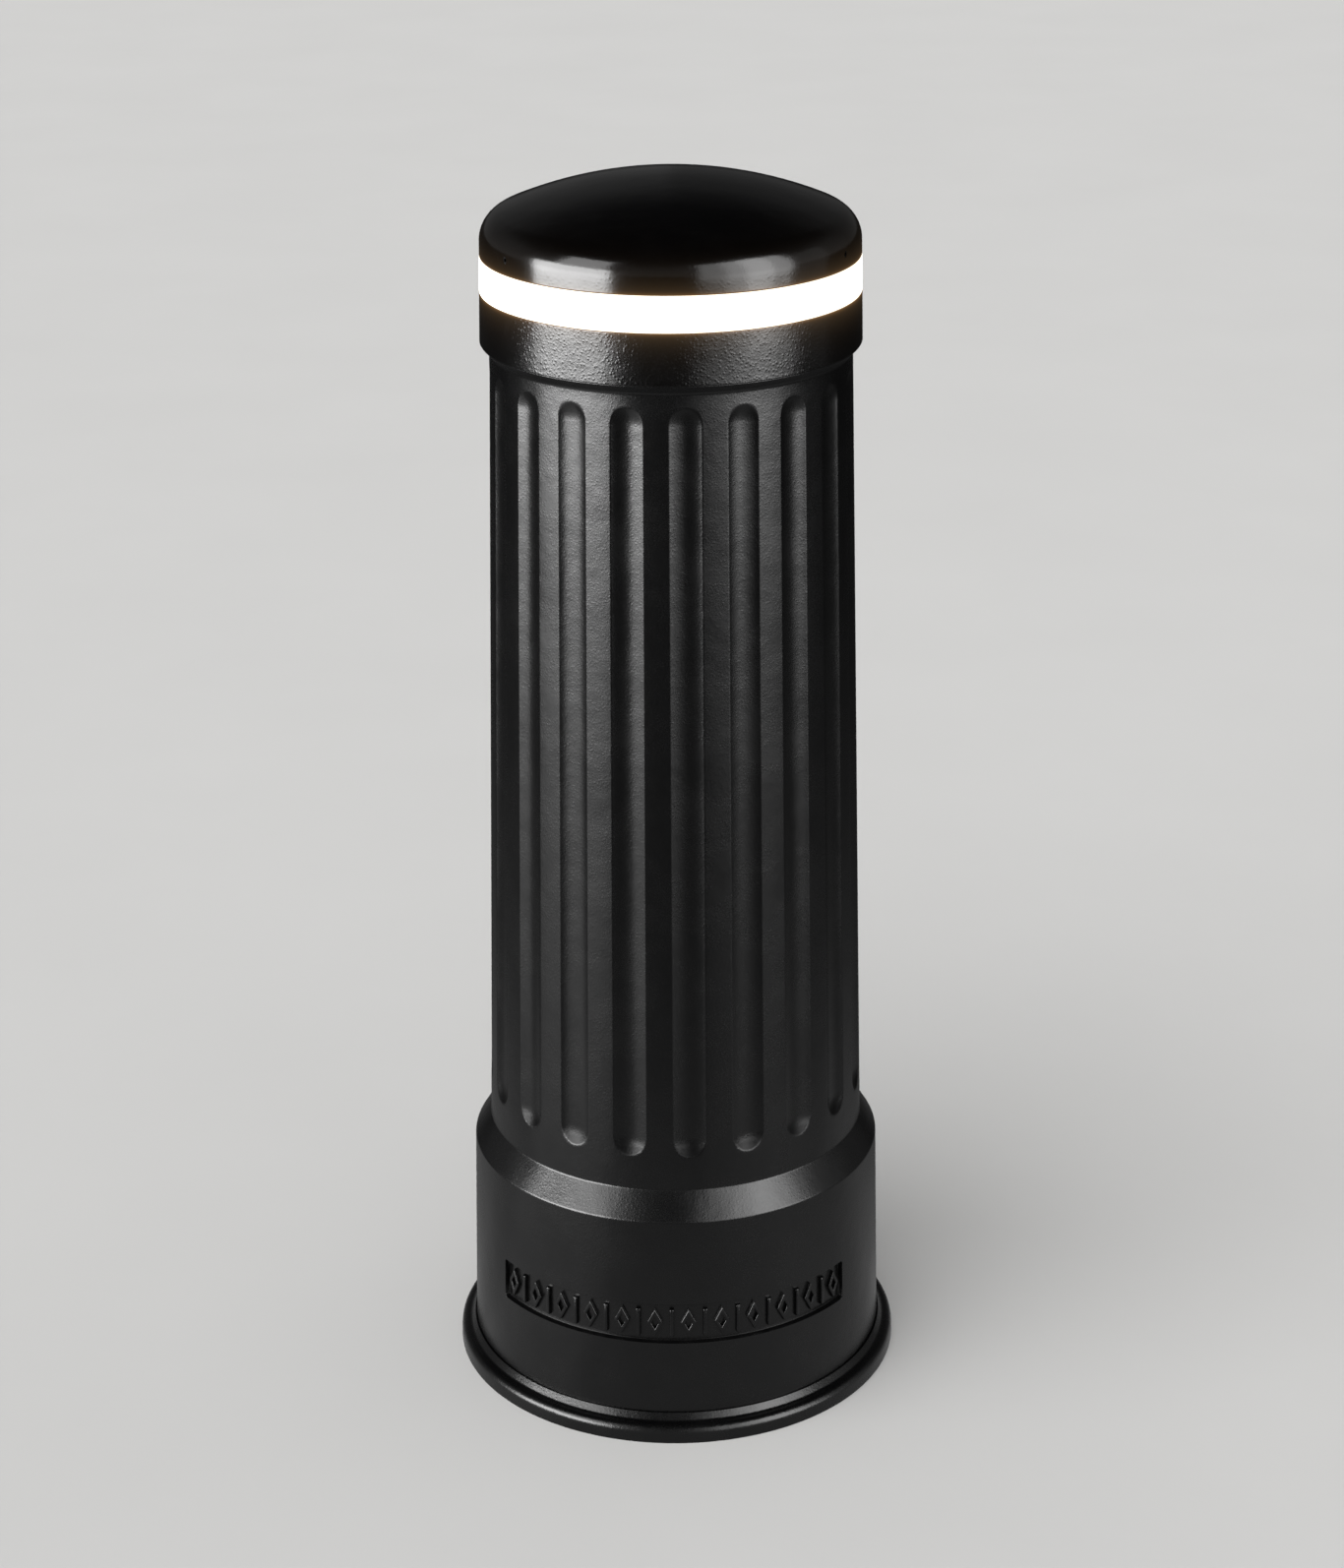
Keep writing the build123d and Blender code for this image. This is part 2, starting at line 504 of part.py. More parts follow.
grommet = lathe([(CABLE_R, -3), (11, -3, 1), (11, 0), (8, 0), (8, 12), (11, 12), (11, 15, 1),
                 (CABLE_R, 15)])
save("cable_grommet", Pos(LEAD_X, 0, COLLAR_Z) * grommet)
save("riser_cable", cable([(COIL_R, 0, 23.4), (COIL_R, 0, 690), (LEAD_X, 0, 740),
                           (LEAD_X, 0, 812), (49, 0, 812)], CABLE_R, 6))
driver = Pos(-4.5, 0, PLATE_TOP_Z + 13) * Box(107, 60, 26)
save("led_driver", fillet(driver.edges().filter_by(Axis.Z), 4))
save("head_lead", cable(
    [(-58, 0, 814), (-84, 0, 814), (-96, 0, LED_Z), (-121.8, 0, LED_Z)], 2, 5))
save("led_strip", tube(DRUM_R + 0.5, DRUM_R, LED_Z - 7, LED_Z + 7))
chip = Pos(0, -123.3, LED_Z) * Box(5, 1.6, 3)
chip_band = tube(124.1, DRUM_R + 0.5, LED_Z - 8, LED_Z + 8)
save("led_chips", *[around(chip & chip_band, theta) for theta in spaced(48)])

save("lens_ring", lathe([
    (147.4, LENS_Z), (HEAD_R, LENS_Z, 0.4), (HEAD_R, CAP_Z, 0.4), (147.4, CAP_Z)]))
save("lens_gaskets", tube(GASKET_OR, GASKET_IR, LENS_Z - GASKET_T, LENS_Z),
     tube(GASKET_OR, GASKET_IR, CAP_Z, CAP_Z + GASKET_T))


# ---- cap: a crown arc meeting a round corner, wall of even thickness ----
def cap_points(inset):
    """Side's end, corner's middle and end, crown's middle and apex."""
    corner_x = HEAD_R - CAP_CORNER_R
    rise = math.sqrt((CAP_CROWN_R - CAP_CORNER_R) ** 2 - corner_x ** 2)
    crown_z = APEX_Z - CAP_CROWN_R      # centre of the crown arc
    meet = math.atan2(corner_x, rise)   # angle from +Z where the arcs meet

    def corner(angle):
        radius = CAP_CORNER_R - inset
        return Vector(corner_x + radius * math.sin(angle), 0,
                      crown_z + rise + radius * math.cos(angle))

    def crown_arc(angle):
        radius = CAP_CROWN_R - inset
        return Vector(radius * math.sin(angle), 0, crown_z + radius * math.cos(angle))

    return (corner(math.pi / 2), corner((meet + math.pi / 2) / 2), corner(meet),
            crown_arc(meet / 2), crown_arc(0))


line, arc = Edge.make_line, Edge.make_three_point_arc
side, corner_mid, corner_end, crown_mid, apex = cap_points(0)
in_side, in_corner_mid, in_corner_end, in_crown_mid, in_apex = cap_points(CAP_WALL_T)
rim_outer = (HEAD_R, 0, CAP_Z + 0.4)
rim_bottom = (HEAD_R - 0.4, 0, CAP_Z)
rim_inner = (HEAD_R - CAP_WALL_T, 0, CAP_Z)
cap = revolve(Face(Wire([
    line(rim_outer, side),
    arc(side, corner_mid, corner_end),
    arc(corner_end, crown_mid, apex),
    line(apex, in_apex),
    arc(in_apex, in_crown_mid, in_corner_end),
    arc(in_corner_end, in_corner_mid, in_side),
    line(in_side, rim_inner),
    line(rim_inner, rim_bottom),
    line(rim_bottom, rim_outer),
])), axis=Axis.Z, revolution_arc=360)
cap -= tube(GASKET_OR, GASKET_IR, CAP_Z - 1, CAP_Z + GASKET_T)
set_screws = []
for theta in (-57.5, 63.5, 183.0):
    cap -= rod(spot(theta, 140, CAP_SCREW_Z), spot(theta, 160, CAP_SCREW_Z), 3)
    set_screw = rod(spot(theta, 146.6, CAP_SCREW_Z), spot(theta, 151.6, CAP_SCREW_Z), 3)
    socket_plane = Plane(origin=spot(theta, 149.2, CAP_SCREW_Z), z_dir=spot(theta, 1, 0))
    set_screw -= socket_plane * extrude(RegularPolygon(1.7, 6), 4)
    set_screws.append(set_screw)
save("cap", cap)
save("cap_set_screws", *set_screws)

# ---- coiled cable between the receiver and the post ----
coil_height = COIL_TOP_Z - COIL_BOT_Z
helix = Pos(0, 0, COIL_BOT_Z) * Edge.make_helix(
    pitch=coil_height / COIL_TURNS, height=coil_height, radius=COIL_R)
profile = Plane(origin=helix @ 0, z_dir=helix % 0) * Circle(CABLE_R)
save("coil_cable", sweep(profile, path=helix, is_frenet=True))
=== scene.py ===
import json
import math
import random

import bmesh
import bpy
import numpy as np
from mathutils import Matrix, Vector


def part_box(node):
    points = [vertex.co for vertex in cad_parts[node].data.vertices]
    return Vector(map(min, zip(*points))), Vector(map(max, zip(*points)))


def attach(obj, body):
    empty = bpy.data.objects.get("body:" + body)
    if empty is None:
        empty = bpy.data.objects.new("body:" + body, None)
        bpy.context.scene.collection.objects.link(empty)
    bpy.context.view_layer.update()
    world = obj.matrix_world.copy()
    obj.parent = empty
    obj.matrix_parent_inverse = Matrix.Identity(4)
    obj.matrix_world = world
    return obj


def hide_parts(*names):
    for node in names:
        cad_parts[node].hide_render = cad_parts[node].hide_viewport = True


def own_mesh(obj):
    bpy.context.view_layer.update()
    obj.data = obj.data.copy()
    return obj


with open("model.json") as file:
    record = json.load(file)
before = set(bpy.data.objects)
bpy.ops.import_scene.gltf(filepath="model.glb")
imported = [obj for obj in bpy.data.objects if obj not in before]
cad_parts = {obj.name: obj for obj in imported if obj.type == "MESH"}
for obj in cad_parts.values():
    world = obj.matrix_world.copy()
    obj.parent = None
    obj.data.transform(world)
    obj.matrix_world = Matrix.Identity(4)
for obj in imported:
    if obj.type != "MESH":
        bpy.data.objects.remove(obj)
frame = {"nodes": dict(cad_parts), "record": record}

random.seed(7)
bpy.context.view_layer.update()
NODES, RECORD = frame["nodes"], frame["record"]
scene = bpy.context.scene
MM = 0.001


# ------------------------------------------------------------------ materials
class Graph:
    """A small helper round one material's node tree."""

    def __init__(self, name):
        self.mat = bpy.data.materials.new(name)
        self.mat.use_nodes = True
        self.t = self.mat.node_tree
        self.t.nodes.clear()
        self.out = self.t.nodes.new("ShaderNodeOutputMaterial")
        self.b = self.t.nodes.new("ShaderNodeBsdfPrincipled")
        self.t.links.new(self.b.outputs[0], self.out.inputs["Surface"])
        self.coord = self.t.nodes.new("ShaderNodeTexCoord").outputs["Object"]

    def link(self, a, b):
        self.t.links.new(a, b)

    def node(self, kind, **values):
        n = self.t.nodes.new(kind)
        for k, v in values.items():
            if k in n.inputs:
                if hasattr(v, "is_linked"):
                    self.link(v, n.inputs[k])
                else:
                    n.inputs[k].default_value = v
            else:
                setattr(n, k, v)
        return n

    def stretch(self, scale):
        m = self.node("ShaderNodeMapping")
        self.link(self.coord, m.inputs["Vector"])
        m.inputs["Scale"].default_value = scale
        return m.outputs[0]

    def noise(self, scale, detail=2.0, rough=0.5, vec=None, distort=0.0):
        n = self.node("ShaderNodeTexNoise")
        self.link(vec or self.coord, n.inputs["Vector"])
        n.inputs["Scale"].default_value = scale
        n.inputs["Detail"].default_value = detail
        n.inputs["Roughness"].default_value = rough
        n.inputs["Distortion"].default_value = distort
        return n.outputs["Fac"]

    def cells(self, scale, feature="F1", vec=None, out="Distance"):
        n = self.node("ShaderNodeTexVoronoi", feature=feature)
        self.link(vec or self.coord, n.inputs["Vector"])
        n.inputs["Scale"].default_value = scale
        return n.outputs[out]

    def span(self, value, lo, hi, to0, to1):
        n = self.node("ShaderNodeMapRange")
        n.clamp = True
        self.link(value, n.inputs["Value"])
        for k, v in (("From Min", lo), ("From Max", hi), ("To Min", to0), ("To Max", to1)):
            n.inputs[k].default_value = v
        return n.outputs[0]

    def math(self, op, a, b=None):
        n = self.node("ShaderNodeMath", operation=op)
        for i, v in enumerate((a, b)):
            if v is None:
                continue
            if hasattr(v, "is_linked"):
                self.link(v, n.inputs[i])
            else:
                n.inputs[i].default_value = v
        return n.outputs[0]

    def mix(self, fac, a, b):
        n = self.node("ShaderNodeMix", data_type="RGBA")
        for k, v in ((0, fac), (6, a), (7, b)):
            if hasattr(v, "is_linked"):
                self.link(v, n.inputs[k])
            else:
                n.inputs[k].default_value = v if k == 0 else (*v[:3], 1.0)
        return n.outputs[2]

    def attr(self, name):
        n = self.node("ShaderNodeAttribute")
        n.attribute_name = name
        return n.outputs["Fac"]

    def bump(self, height, strength, distance, normal=None):
        n = self.node("ShaderNodeBump")
        self.link(height, n.inputs["Height"])
        n.inputs["Strength"].default_value = strength
        n.inputs["Distance"].default_value = distance
        if normal is not None:
            self.link(normal, n.inputs["Normal"])
        return n.outputs[0]

    def set(self, **values):
        names = {"color": "Base Color", "rough": "Roughness", "metal": "Metallic", "normal": "Normal",
                 "spec": "Specular IOR Level", "coat": "Coat Weight", "coat_rough": "Coat Roughness",
                 "emit": "Emission Color", "power": "Emission Strength", "sub": "Subsurface Weight",
                 "ior": "IOR", "aniso": "Anisotropic"}
        for k, v in values.items():
            s = self.b.inputs[names[k]]
            if hasattr(v, "is_linked"):
                self.link(v, s)
            else:
                s.default_value = (*v[:3], 1.0) if k in ("color", "emit") else v
        return self.mat


def powder(name, base, dust, rough, peel, pits, wave, coat=0.0, glow=None):
    """Black powder coat: orange peel, fine sparkle of pits, slow waviness of the casting below, faint dust.
    glow is the height in metres of a lit lens edge; beside it the coat carries a painted warm glow, emission that
    stands in for the lens's light falling on the coat."""
    g = Graph(name)
    broad = g.noise(7, 3, 0.55)
    streak = g.noise(11, 4, 0.6, vec=g.stretch((1.0, 1.0, 0.18)))
    cavity = g.attr("cavity")
    dusty = g.math("MULTIPLY", g.span(g.noise(38, 6, 0.65), 0.42, 0.75, 0.0, 1.0), 0.5)
    dusty = g.math("MAXIMUM", g.math("MULTIPLY", dusty, g.span(streak, 0.4, 0.7, 0.0, 1.0)), g.math("MULTIPLY", cavity, 0.25))
    col = g.mix(g.span(broad, 0.3, 0.7, 0.0, 1.0), base, tuple(c * 1.6 + 0.0003 for c in base))
    col = g.mix(dusty, col, dust)
    r = g.span(g.noise(22, 5, 0.6), 0.3, 0.7, rough[0], rough[1])
    r = g.math("ADD", r, g.math("MULTIPLY", g.noise(900, 1, 0.5), 0.05))
    fine = g.noise(peel[0], 2.0, 0.5)
    pit = g.span(g.cells(pits[0]), 0.05, 0.42, 1.0, 0.0)
    slow = g.noise(wave[0], 2.0, 0.5)
    n = g.bump(slow, 1.0, wave[1])
    n = g.bump(fine, 1.0, peel[1], n)
    n = g.bump(pit, 1.0, pits[1], n)
    # a film of dirt lies on the little ledges where the flutes end
    geo = g.node("ShaderNodeNewGeometry")
    facing = g.node("ShaderNodeSeparateXYZ")
    g.link(geo.outputs["Normal"], facing.inputs[0])
    ledge = g.math("MULTIPLY", g.span(facing.outputs["Z"], 0.08, 0.28, 0.0, 1.0), g.span(cavity, 0.02, 0.15, 0.0, 1.0))
    r = g.math("ADD", r, g.math("MULTIPLY", ledge, 0.10))
    m = g.set(color=col, rough=r, normal=n, spec=0.5, coat=coat)
    g.link(g.math("SUBTRACT", 0.5, g.math("MULTIPLY", ledge, 0.34)), g.b.inputs["Specular IOR Level"])
    g.b.inputs["Coat Roughness"].default_value = 0.10
    # painted glow: warm emission on the coat beside the lens edge, standing in for the lens's light falling on it
    if glow is not None:
        sep = g.node("ShaderNodeSeparateXYZ")
        g.link(g.coord, sep.inputs[0])
        d = g.math("ABSOLUTE", g.math("SUBTRACT", sep.outputs["Z"], glow))
        parts = []
        for reach, level, tint in ((0.0085, 0.050, (1.0, 0.62, 0.30)), (0.0010, 0.20, (1.0, 0.50, 0.18))):
            v = g.node("ShaderNodeVectorMath", operation="SCALE")
            v.inputs[0].default_value = tint
            g.link(g.math("MULTIPLY", g.math("EXPONENT", g.math("MULTIPLY", d, -1.0 / reach)), level), v.inputs["Scale"])
            parts.append(v.outputs[0])
        both = g.node("ShaderNodeVectorMath", operation="ADD")
        g.link(parts[0], both.inputs[0])
        g.link(parts[1], both.inputs[1])
        g.link(both.outputs[0], g.b.inputs["Emission Color"])
        g.b.inputs["Emission Strength"].default_value = 1.0
    return m


def steel(name, color, rough, brush=None, oily=0.0, spangle=0.0):
    """Bare metal: drawn or turned lines, uneven polish, optional zinc spangle or oil film."""
    g = Graph(name)
    lines = g.noise(160, 3, 0.6, vec=g.stretch(brush or (1, 1, 9)))
    broad = g.noise(14, 4, 0.6)
    col = g.mix(g.span(lines, 0.35, 0.65, 0.0, 1.0), tuple(c * 0.86 for c in color), color)
    height = lines
    r = g.span(broad, 0.3, 0.7, rough[0], rough[1])
    if spangle:
        cell = g.node("ShaderNodeTexVoronoi", feature="F1")
        g.link(g.coord, cell.inputs["Vector"])
        cell.inputs["Scale"].default_value = spangle
        grey = g.node("ShaderNodeSeparateColor")
        g.link(cell.outputs["Color"], grey.inputs[0])
        col = g.mix(g.math("MULTIPLY", grey.outputs[0], 0.7), tuple(c * 0.72 for c in color), tuple(min(1, c * 1.08) for c in color))
        col = g.mix(g.span(g.noise(9, 5, 0.7), 0.5, 0.72, 0.0, 0.45), col, (0.72, 0.73, 0.72))
        r = g.math("ADD", r, g.math("MULTIPLY", grey.outputs[1], 0.16))
        height = g.noise(120, 3, 0.5)
    if oily:
        col = g.mix(g.span(g.noise(26, 5, 0.6), 0.45, 0.7, 0.0, oily), col, (0.10, 0.075, 0.045))
    return g.set(color=col, metal=1.0, rough=r, normal=g.bump(height, 0.35, 0.00025))


def plastic(name, base, rough, grain=500, depth=0.00012, mottled=0.12, spec=0.5):
    g = Graph(name)
    col = g.mix(g.noise(30, 4, 0.6), tuple(c * (1 - mottled) for c in base), tuple(min(1, c * (1 + mottled)) for c in base))
    r = g.span(g.noise(60, 4, 0.6), 0.3, 0.7, rough[0], rough[1])
    n = g.bump(g.noise(grain, 3, 0.6), 1.0, depth)
    return g.set(color=col, rough=r, normal=n, spec=spec)


def lens_material():
    """Opal diffuser lit from behind: an even white body that warms and dims a little at its two edges."""
    g = Graph("opal_lens")
    sep = g.node("ShaderNodeSeparateXYZ")
    g.link(g.coord, sep.inputs[0])
    lo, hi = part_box("lens_ring")
    mid, half = (lo.z + hi.z) / 2, (hi.z - lo.z) / 2
    up = g.math("ABSOLUTE", g.math("DIVIDE", g.math("SUBTRACT", sep.outputs["Z"], mid), half))
    edge = g.span(up, 0.72, 1.0, 0.0, 1.0)
    edge = g.math("POWER", edge, 2.2)
    cloud = g.span(g.noise(60, 3, 0.5), 0.3, 0.7, 0.94, 1.06)
    ang = g.node("ShaderNodeMath", operation="ARCTAN2")
    g.link(sep.outputs["Y"], ang.inputs[0])
    g.link(sep.outputs["X"], ang.inputs[1])
    chips = g.math("COSINE", g.math("MULTIPLY", ang.outputs[0], 48.0))
    power = g.math("MULTIPLY", g.math("MULTIPLY", g.span(edge, 0.0, 1.0, 2.6, 1.25), cloud),
                   g.math("ADD", 1.0, g.math("MULTIPLY", chips, 0.02)))
    emit = g.mix(edge, (1.0, 0.975, 0.925), (1.0, 0.86, 0.62))
    col = g.mix(g.noise(40, 3, 0.5), (0.82, 0.80, 0.75), (0.90, 0.88, 0.84))
    n = g.bump(g.noise(420, 2, 0.5), 0.4, 0.00008)
    return g.set(color=col, rough=0.32, emit=emit, power=power, normal=n, sub=0.0)


def led_material():
    g = Graph("led_yellow")
    col = g.mix(g.noise(900, 3, 0.5), (0.80, 0.62, 0.18), (0.95, 0.85, 0.45))
    return g.set(color=col, rough=0.25, emit=(1.0, 0.93, 0.78), power=2.0, normal=g.bump(g.noise(1200, 2, 0.5), 0.5, 0.0001))


MATS = {
    "cast_black": powder("cast_black", (0.0006, 0.0006, 0.0007), (0.0045, 0.0044, 0.0042), (0.21, 0.27), (620, 0.00007), (420, 0.00004), (38, 0.0004)),
    # head_black and cap_black carry the painted lens glow beside the light ring
    "head_black": powder("head_black", (0.0006, 0.0006, 0.0007), (0.0045, 0.0044, 0.0042), (0.16, 0.21), (560, 0.00010), (330, 0.00010), (30, 0.0005), 0.0,
                         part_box("collar")[1].z),
    "cap_black": powder("cap_black", (0.0004, 0.0004, 0.0005), (0.003, 0.0029, 0.0028), (0.11, 0.15), (460, 0.00003), (300, 0.00002), (24, 0.0004), 0.0,
                        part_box("cap")[0].z),
    "opal_lens": lens_material(),
    "stainless": steel("stainless", (0.60, 0.60, 0.59), (0.22, 0.36)),
    "stainless_dark": steel("stainless_dark", (0.07, 0.07, 0.07), (0.25, 0.4)),
    "galvanised": steel("galvanised", (0.50, 0.52, 0.53), (0.34, 0.50), spangle=85),
    "machine_steel": steel("machine_steel", (0.44, 0.44, 0.45), (0.25, 0.4), brush=(2, 2, 30), oily=0.5),
    "bearing_steel": steel("bearing_steel", (0.74, 0.74, 0.76), (0.08, 0.16), brush=(1, 1, 20)),
    "aluminium_plain": steel("aluminium_plain", (0.74, 0.75, 0.76), (0.28, 0.42), brush=(1, 1, 25)),
    "bronze": steel("bronze", (0.56, 0.37, 0.17), (0.25, 0.42), brush=(2, 2, 20), oily=0.4),
    "nickel_brass": steel("nickel_brass", (0.64, 0.61, 0.53), (0.18, 0.3)),
    "rubber_black": plastic("rubber_black", (0.022, 0.022, 0.022), (0.62, 0.80), 420, 0.0002, 0.2, 0.35),
    "cable_black": plastic("cable_black", (0.020, 0.020, 0.022), (0.42, 0.58), 300, 0.00015, 0.15),
    "polymer_white": plastic("polymer_white", (0.76, 0.74, 0.68), (0.38, 0.52), 200, 0.0002, 0.05),
    "polymer_black": plastic("polymer_black", (0.03, 0.03, 0.03), (0.42, 0.55), 260, 0.0002, 0.15),
    "plastic_grey": plastic("plastic_grey", (0.26, 0.27, 0.28), (0.45, 0.58), 500, 0.0002, 0.08),
    "motor_paint": powder("motor_paint", (0.06, 0.12, 0.17), (0.10, 0.10, 0.09), (0.36, 0.46), (420, 0.0002), (260, 0.0001), (40, 0.0008)),
    "circuit_white": plastic("circuit_white", (0.80, 0.80, 0.78), (0.3, 0.4), 700, 0.00005, 0.04),
    "led_yellow": led_material(),
}


# ------------------------------------------------------------------ mesh helpers
def rounded(points, steps=7):
    """(r, z) or (r, z, corner radius) in mm -> outline with arcs at the corners, open or closed as given."""
    out = []
    n = len(points)
    for i, p in enumerate(points):
        f = p[2] if len(p) > 2 else 0.0
        if f <= 0:
            out.append((p[0], p[1]))
            continue
        a, b = np.array(points[i - 1][:2], float), np.array(points[(i + 1) % n][:2], float)
        q = np.array(p[:2], float)
        ua, ub = (a - q) / np.linalg.norm(a - q), (b - q) / np.linalg.norm(b - q)
        half = math.acos(max(-1.0, min(1.0, float(ua @ ub)))) / 2
        t = f / math.tan(half)
        bis = (ua + ub) / np.linalg.norm(ua + ub)
        c = q + bis * f / math.sin(half)
        s, e = q + ua * t - c, q + ub * t - c
        a0, a1 = math.atan2(s[1], s[0]), math.atan2(e[1], e[0])
        d = (a1 - a0 + math.pi) % (2 * math.pi) - math.pi
        for k in range(steps + 1):
            w = a0 + d * k / steps
            out.append((c[0] + f * math.cos(w), c[1] + f * math.sin(w)))
    return out


def sampled(points, longest):
    """Splits long runs of an outline so that faces stay well shaped."""
    out = []
    for i, p in enumerate(points):
        q = points[(i + 1) % len(points)]
        d = math.hypot(q[0] - p[0], q[1] - p[1])
        k = max(1, int(math.ceil(d / longest)))
        out += [(p[0] + (q[0] - p[0]) * j / k, p[1] + (q[1] - p[1]) * j / k) for j in range(k)]
    return out


def make(name, verts, faces, slot_name, body, replaces=(), sharp=None):
    mesh = bpy.data.meshes.new(name)
    mesh.from_pydata([tuple(v) for v in verts], [], faces)
    mesh.validate()
    for p in mesh.polygons:
        p.use_smooth = True
    obj = bpy.data.objects.new(name, mesh)
    scene.collection.objects.link(obj)
    tidy(obj, sharp)
    mesh.materials.append(MATS[slot_name])
    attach(obj, body)
    if replaces:
        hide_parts(*replaces)
    return obj


def tidy(obj, sharp=None):
    bm = bmesh.new()
    bm.from_mesh(obj.data)
    bmesh.ops.remove_doubles(bm, verts=bm.verts, dist=1e-6)
    bmesh.ops.recalc_face_normals(bm, faces=bm.faces)
    bm.to_mesh(obj.data)
    bm.free()
    if sharp:
        obj.data.set_sharp_from_angle(angle=math.radians(sharp))


def turned(name, outline, slot_name, body, replaces=(), seg=256, sharp=None):
    """A lathe piece from a closed outline in mm; points on the axis close to one vertex."""
    verts, rings, faces = [], [], []
    for r, z in outline:
        if abs(r) < 1e-6:
            rings.append([len(verts)] * seg)
            verts.append((0.0, 0.0, z * MM))
        else:
            base = len(verts)
            rings.append(list(range(base, base + seg)))
            for k in range(seg):
                a = 2 * math.pi * k / seg
                verts.append((r * MM * math.sin(a), -r * MM * math.cos(a), z * MM))
    for i in range(len(rings)):
        a, b = rings[i], rings[(i + 1) % len(rings)]
        for k in range(seg):
            k2 = (k + 1) % seg
            f = []
            for v in (a[k], a[k2], b[k2], b[k]):
                if v not in f:
                    f.append(v)
            if len(f) >= 3:
                faces.append(f)
    return make(name, verts, faces, slot_name, body, replaces, sharp)


def spot(theta, r, z):
    t = math.radians(theta)
    return Vector((r * math.sin(t), -r * math.cos(t), z)) * MM


def tube_along(name, path, r, slot_name, body, replaces=(), ring=12):
    """A round cable swept along points (metres), with closed ends."""
    pts = [Vector(p) for p in path]
    verts, faces = [], []
    up = Vector((0.13, 0.27, 0.95)).normalized()
    for i, p in enumerate(pts):
        d = (pts[min(i + 1, len(pts) - 1)] - pts[max(i - 1, 0)]).normalized()
        side = d.cross(up).normalized()
        top = side.cross(d).normalized()
        up = top
        for k in range(ring):
            a = 2 * math.pi * k / ring
            verts.append(p + side * (r * math.cos(a)) + top * (r * math.sin(a)))
    for i in range(len(pts) - 1):
        for k in range(ring):
            k2 = (k + 1) % ring
            faces.append((i * ring + k, i * ring + k2, (i + 1) * ring + k2, (i + 1) * ring + k))
    faces.append(tuple(reversed(range(ring))))
    faces.append(tuple((len(pts) - 1) * ring + k for k in range(ring)))
    return make(name, verts, faces, slot_name, body, replaces)


# ------------------------------------------------------------------ sizes from the frame
lens_lo, lens_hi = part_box("lens_ring")
HEAD_R = lens_hi.x / MM
LENS_Z, CAP_Z = lens_lo.z / MM, lens_hi.z / MM
APEX_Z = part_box("cap")[1].z / MM
col_lo, col_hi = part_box("column_casting")
BASE_R = col_hi.x / MM
CAST_BOT_Z, COLLAR_Z = col_lo.z / MM, col_hi.z / MM
ring_lo, ring_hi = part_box("ground_ring")
RING_LIP_Z = ring_hi.z / MM

# ------------------------------------------------------------------ the fluted casting
COL_TOP_R, COL_BOT_R = 144.7, 146.3
FLUTE_R, FLUTE_DEPTH, FLUTES, FLUTE_FIRST = 30.5, 3.3, 20, 4.2
FLUTE_Z0, FLUTE_Z1 = 201.7, 766.3
SH0, SH1 = 158.9, 177.0
PANEL_Z0, PANEL_Z1, PANEL_MID, PANEL_HALF, PANEL_FLOOR, PANEL_FACE = 68.7, 96.8, -1.4, 54.8, 154.8, 157.6
FLARE_R = 151.6


